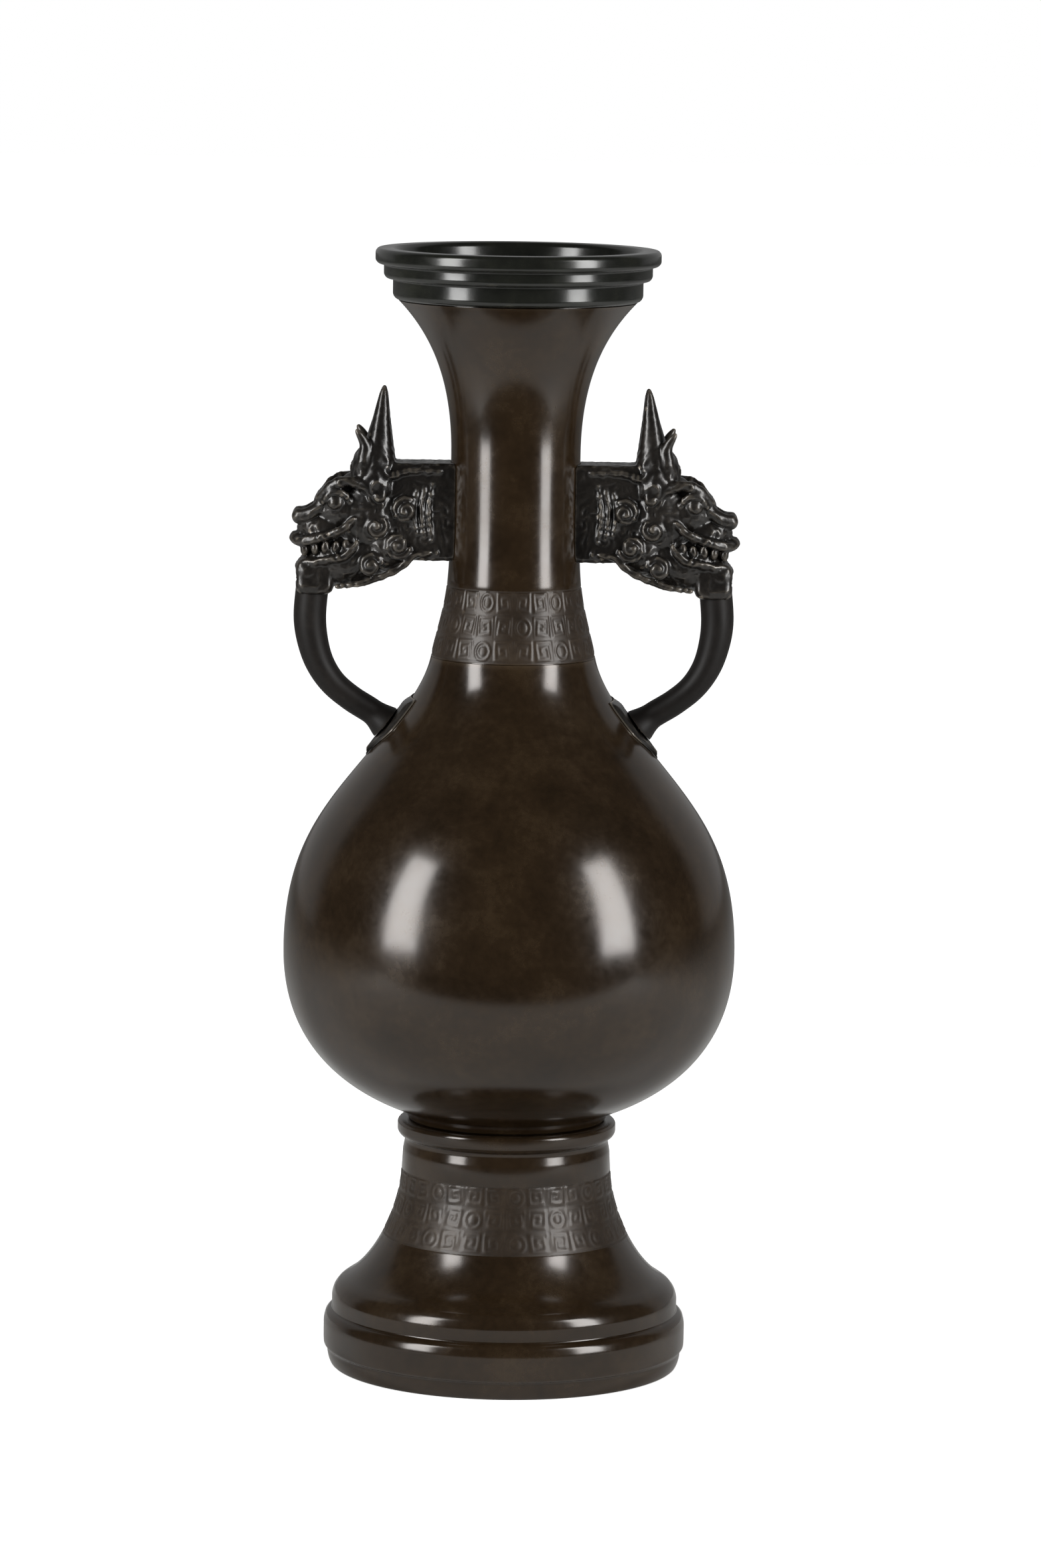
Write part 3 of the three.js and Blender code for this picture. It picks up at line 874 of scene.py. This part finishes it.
    def horns(self, clay: Sculpt, side: int) -> None:
        """Model one horn, the ear in front of it, and the forelock.

        Args:
            clay: The figure that the clay goes onto.
            side: 1 or -1, the side along Y.
        """
        clay.strand([(39.4, side * 4.4, 254.0), (38.9, side * 4.2, 261.0), (38.2, side * 3.6, 270.0),
                     (37.4, side * 3.2, 280.2)], (6.0, 5.0, 3.0, 0.8))
        clay.ball((41.6, side * 5.4, 258.6), (4.6, 3.0, 5.4))
        clay.strand([(43.4, side * 6.2, 255.0), (42.6, side * 7.0, 260.6), (42.4, side * 7.2, 264.6),
                     (44.7, side * 8.0, 268.6)], (2.6, 2.5, 1.8, 0.8))
        clay.strand([(45.2, side * 4.4, 254.6), (45.6, side * 4.6, 258.2), (43.6, side * 4.6, 261.2),
                     (41.4, side * 4.2, 260.0)], (1.1, 1.2, 1.0, 0.7))

    def roughen(self, skin: bmesh.types.BMesh) -> None:
        """Raise the small uneven scrolls and pits of old casting all over the figure.

        Args:
            skin: The figure's skin in millimetres.
        """
        # Without a seed, noise_vector gives other bends in each run
        noise.seed_set(self.scroll_seed)
        skin.normal_update()
        moves = []
        for vert in skin.verts:
            place = Vector((vert.co.x, abs(vert.co.y), vert.co.z))
            bent = noise.noise_vector(place / self.swirl_mm) * self.swirl_bend
            scroll = 0.5 - abs(noise.noise(place / self.scroll_mm + bent)) * self.scroll_sharpness
            pit = noise.noise(place / self.pit_mm)
            fade = 1.0 - self.horn_fade * smooth_step(self.horn_foot_z, self.horn_smooth_z, vert.co.z)
            moves.append(vert.normal * (scroll * self.scroll_depth + pit * self.pit_depth) * fade)
        for vert, move in zip(skin.verts, moves):
            vert.co += move

    def seat_on_neck(self, skin: bmesh.types.BMesh) -> None:
        """Press the bracket's inner end onto the neck's round surface.

        Args:
            skin: The figure's skin in millimetres.
        """
        for vert in skin.verts:
            limit = radius_at(self.profile.neck_outer, vert.co.z) + self.neck_seat_gap
            reach = math.hypot(vert.co.x, vert.co.y)
            if reach < limit:
                vert.co.x = math.sqrt(max(limit * limit - vert.co.y * vert.co.y, 1.0))

    def pad_frame(self) -> tuple[Vector, Vector]:
        """Find where the right pad lies on the shoulder.

        Returns:
            The pad's middle, and the shoulder's outward direction there.
        """
        outer = self.profile.body_outer
        widening = radius_at(outer, self.pad_z + 3) - radius_at(outer, self.pad_z - 3)
        rise = Vector((widening, 6.0)).normalized()
        return Vector((radius_at(outer, self.pad_z), 0, self.pad_z)), Vector((rise.y, 0, -rise.x))

    def loop(self, materials: dict[str, bpy.types.Material]) -> None:
        """Model the plain loop from the jaw to the shoulder pad.

        Args:
            materials: The finishes by slot.
        """
        place, normal = self.pad_frame()
        points = [Vector((57.1, 0, self.jaw_z)), Vector((57.8, 0, 215.5)), Vector((57.0, 0, 208.5)),
                  Vector((54.9, 0, 202.0)), Vector((51.2, 0, 196.4)), Vector((46.0, 0, 192.0)),
                  place + normal * 7, place + normal * (self.pad_thickness + 0.3)]
        path = smooth_path(points, 8)
        shape = bmesh.new()
        rings = []
        for index, centre in enumerate(path):
            along = (path[min(index + 1, len(path) - 1)] - path[max(index - 1, 0)]).normalized()
            across = Vector((0, 1, 0))
            outward = across.cross(along).normalized()
            share = index / (len(path) - 1)
            swell = (1.0 - self.loop_taper * smooth_step(0.1, 0.7, share)
                     + self.loop_flare * smooth_step(0.86, 1.0, share))
            matrix = Matrix((outward * self.loop_thickness / 2 * swell,
                             across * self.loop_width / 2 * swell, along)).transposed()
            ring = bmesh.ops.create_circle(shape, segments=self.loop_sides, radius=1.0, cap_ends=False,
                                           matrix=Matrix.Translation(centre) @ matrix.to_4x4())
            rings.append(list({edge for vert in ring["verts"] for edge in vert.link_edges}))
        for low, high in zip(rings, rings[1:]):
            bmesh.ops.bridge_loops(shape, edges=low + high)
        bmesh.ops.holes_fill(shape, edges=[edge for edge in shape.edges if edge.is_boundary], sides=0)
        bmesh.ops.recalc_face_normals(shape, faces=shape.faces)
        self.fit_both("handle_loop", shape, materials["loop_bronze"])

    def pad(self, materials: dict[str, bpy.types.Material]) -> None:
        """Model the leaf-shaped pad that lies on the shoulder.

        Args:
            materials: The finishes by slot.
        """
        outer = self.profile.body_outer
        shape = bmesh.new()
        bmesh.ops.create_grid(shape, x_segments=40, y_segments=48, size=1.0)
        place, normal = self.pad_frame()
        down = Vector((-normal.z, 0, normal.x))
        for vert in shape.verts:
            side, along = vert.co.x, vert.co.y
            half = self.pad_width / 2 * (1.0 - smooth_step(-0.2, 1.0, -along) ** 1.5 * self.pad_point)
            vein = (self.midrib_height * math.exp(-(side / self.midrib_width) ** 2)
                    + self.vein_height * math.cos((abs(side) * self.vein_lean + along) * self.vein_pace))
            edge = min(1.0 - abs(side), 1.0 - abs(along))
            rise = (self.pad_lift + (self.pad_thickness - self.pad_shell) * smooth_step(0.0, 0.22, edge)
                    + vein * smooth_step(0.1, 0.3, edge))
            z = place.z + down.z * along * self.pad_length / 2
            reach = radius_at(outer, z) + rise * self.pad_slope
            angle = side * half / reach
            vert.co = Vector((reach * math.cos(angle), reach * math.sin(angle), z))
        bmesh.ops.solidify(shape, geom=shape.faces[:], thickness=-self.pad_shell)
        bmesh.ops.recalc_face_normals(shape, faces=shape.faces)
        self.fit_both("shoulder_pad", shape, materials["dark_bronze"])

    def build(self, materials: dict[str, bpy.types.Material]) -> None:
        """Model both handles and dress their rivets.

        Args:
            materials: The finishes by slot.
        """
        self.head(materials)
        self.loop(materials)
        self.pad(materials)
        for side in Side:
            word = side.name.lower()
            for node in (f"neck_rivet_{word}_1", f"neck_rivet_{word}_2", f"pad_rivet_{word}"):
                rivet = bpy.data.objects[node]
                rivet.data.materials.clear()
                rivet.data.materials.append(materials["rivet_bronze"])


@dataclass
class Studio:
    """The pale floor, the soft lights round the vase, and the camera."""

    distance: float = 1.888
    height: float = 0.426
    pitch_deg: float = 7.785
    roll_deg: float = 0.8
    lens_mm: float = 153.7
    sensor_mm: float = 36.0
    axis_left_px: float = 13.9
    floor_half_width: float = 3.0
    floor_front: float = 0.39
    floor_back: float = 8.0
    shadow_reach: Point = (0.08, 0.4)
    floor_glow: Point = (0.66, 1.0)
    room_turn: Point = (0.4, 0.56)
    room_light: Point = (0.04, 0.3)
    softbox_power: float = 10.4
    softbox_diffuse: float = 0.6
    softbox_angle_deg: float = 55.5
    softbox_reach: float = 0.95
    softbox_height: float = 0.52
    softbox_size: Point = (0.3, 0.8)

    def camera(self) -> None:
        """Place the camera where the photograph was taken from."""
        data = bpy.data.cameras.new("camera")
        data.lens = self.lens_mm
        data.sensor_width = self.sensor_mm
        data.shift_x = self.axis_left_px / PHOTO_HEIGHT
        camera = bpy.data.objects.new("camera", data)
        tilt = Matrix.Rotation(math.radians(90 - self.pitch_deg), 4, "X")
        roll = Matrix.Rotation(math.radians(self.roll_deg), 4, "Z")
        camera.matrix_world = Matrix.Translation((0, -self.distance, self.height)) @ tilt @ roll
        bpy.context.scene.collection.objects.link(camera)
        bpy.context.scene.camera = camera

    def floor(self) -> None:
        """Lay the pale floor, which shows as white apart from the vase's soft shadow."""
        shape = bmesh.new()
        bmesh.ops.create_grid(shape, x_segments=1, y_segments=1, size=1.0)
        for vert in shape.verts:
            depth = self.floor_back if vert.co.y > 0 else self.floor_front
            vert.co = Vector((vert.co.x * self.floor_half_width, vert.co.y * depth, 0))
        mesh = bpy.data.meshes.new("floor")
        shape.to_mesh(mesh)
        shape.free()
        floor = bpy.data.objects.new("floor", mesh)
        bpy.context.scene.collection.objects.link(floor)
        material = bpy.data.materials.new("pale paper")
        material.use_nodes = True
        tree = material.node_tree
        tree.nodes.clear()
        paper = add_node(tree, "ShaderNodeBsdfDiffuse", {}, {"Color": linear("#f4f4f2")})
        place = add_node(tree, "ShaderNodeTexCoord").outputs["Object"]
        away = add_node(tree, "ShaderNodeVectorMath", {"operation": "LENGTH"}, {"0": place})
        glow = add_node(tree, "ShaderNodeMapRange", {}, {
            "Value": away.outputs["Value"],
            "From Min": self.shadow_reach[0], "From Max": self.shadow_reach[1],
            "To Min": self.floor_glow[0], "To Max": self.floor_glow[1]})
        white = add_node(tree, "ShaderNodeEmission", {}, {
            "Color": (1, 1, 1, 1), "Strength": glow.outputs[0]})
        both = add_node(tree, "ShaderNodeAddShader", {}, {"0": paper.outputs[0], "1": white.outputs[0]})
        seen = add_node(tree, "ShaderNodeLightPath").outputs["Is Camera Ray"]
        surface = add_node(tree, "ShaderNodeMixShader", {}, {
            "0": seen, "1": paper.outputs[0], "2": both.outputs[0]})
        add_node(tree, "ShaderNodeOutputMaterial", {}, {"Surface": surface.outputs[0]})
        mesh.materials.append(material)

    def softbox(self, name: str, place: Place, aim: Place, size: Point, power: float) -> None:
        """Hang one rectangular softbox.

        Args:
            name: Name of the light.
            place: Its middle, in metres.
            aim: The place it faces.
            size: Its width and height in metres.
            power: Its power in watts.
        """
        data = bpy.data.lights.new(name, "AREA")
        data.shape = "RECTANGLE"
        data.size, data.size_y = size
        data.energy = power
        data.diffuse_factor = self.softbox_diffuse
        lamp = bpy.data.objects.new(name, data)
        facing = (Vector(aim) - Vector(place)).to_track_quat("-Z", "Y").to_matrix().to_4x4()
        lamp.matrix_world = Matrix.Translation(place) @ facing
        bpy.context.scene.collection.objects.link(lamp)

    def lights(self) -> None:
        """Hang the two tall softboxes that give the vase its pair of long highlights."""
        for side in (-1, 1):
            angle = math.radians(self.softbox_angle_deg) * side
            place = (self.softbox_reach * math.sin(angle), -self.softbox_reach * math.cos(angle),
                     self.softbox_height)
            self.softbox(f"softbox_{side}", place, (0, 0, self.softbox_height), self.softbox_size,
                         self.softbox_power)

    def world(self) -> None:
        """Light the room: white to the camera, and in reflections grey behind the vase, dark elsewhere."""
        world = bpy.data.worlds.new("studio")
        bpy.context.scene.world = world
        world.use_nodes = True
        tree = world.node_tree
        tree.nodes.clear()
        way = add_node(tree, "ShaderNodeTexCoord").outputs["Generated"]
        parts = add_node(tree, "ShaderNodeSeparateXYZ", {}, {"Vector": way})
        level = add_node(tree, "ShaderNodeMapRange", {"interpolation_type": "SMOOTHSTEP"}, {
            "Value": parts.outputs["Y"], "From Min": self.room_turn[0], "From Max": self.room_turn[1],
            "To Min": self.room_light[0], "To Max": self.room_light[1]})
        seen = add_node(tree, "ShaderNodeLightPath").outputs["Is Camera Ray"]
        strength = add_node(tree, "ShaderNodeMix", {"data_type": "FLOAT"}, {
            "0": seen, "2": level.outputs[0], "3": 1.0})
        light = add_node(tree, "ShaderNodeBackground", {}, {
            "Color": (1, 1, 1, 1), "Strength": strength.outputs[0]})
        add_node(tree, "ShaderNodeOutputWorld", {}, {"Surface": light.outputs[0]})

    def build(self) -> None:
        """Set up the whole studio."""
        bpy.context.scene.view_settings.view_transform = "Standard"
        self.camera()
        self.floor()
        self.lights()
        self.world()


def main() -> None:
    """Build the vase and its studio."""
    logging.basicConfig(level=logging.INFO, format="%(relativeCreated)6d ms %(message)s")
    Studio().build()
    profile = VaseProfile()
    materials = finishes(profile)
    for casting in profile.castings():
        casting.build(materials)
    Handles(profile).build(materials)


if __name__ == "__main__":
    main()
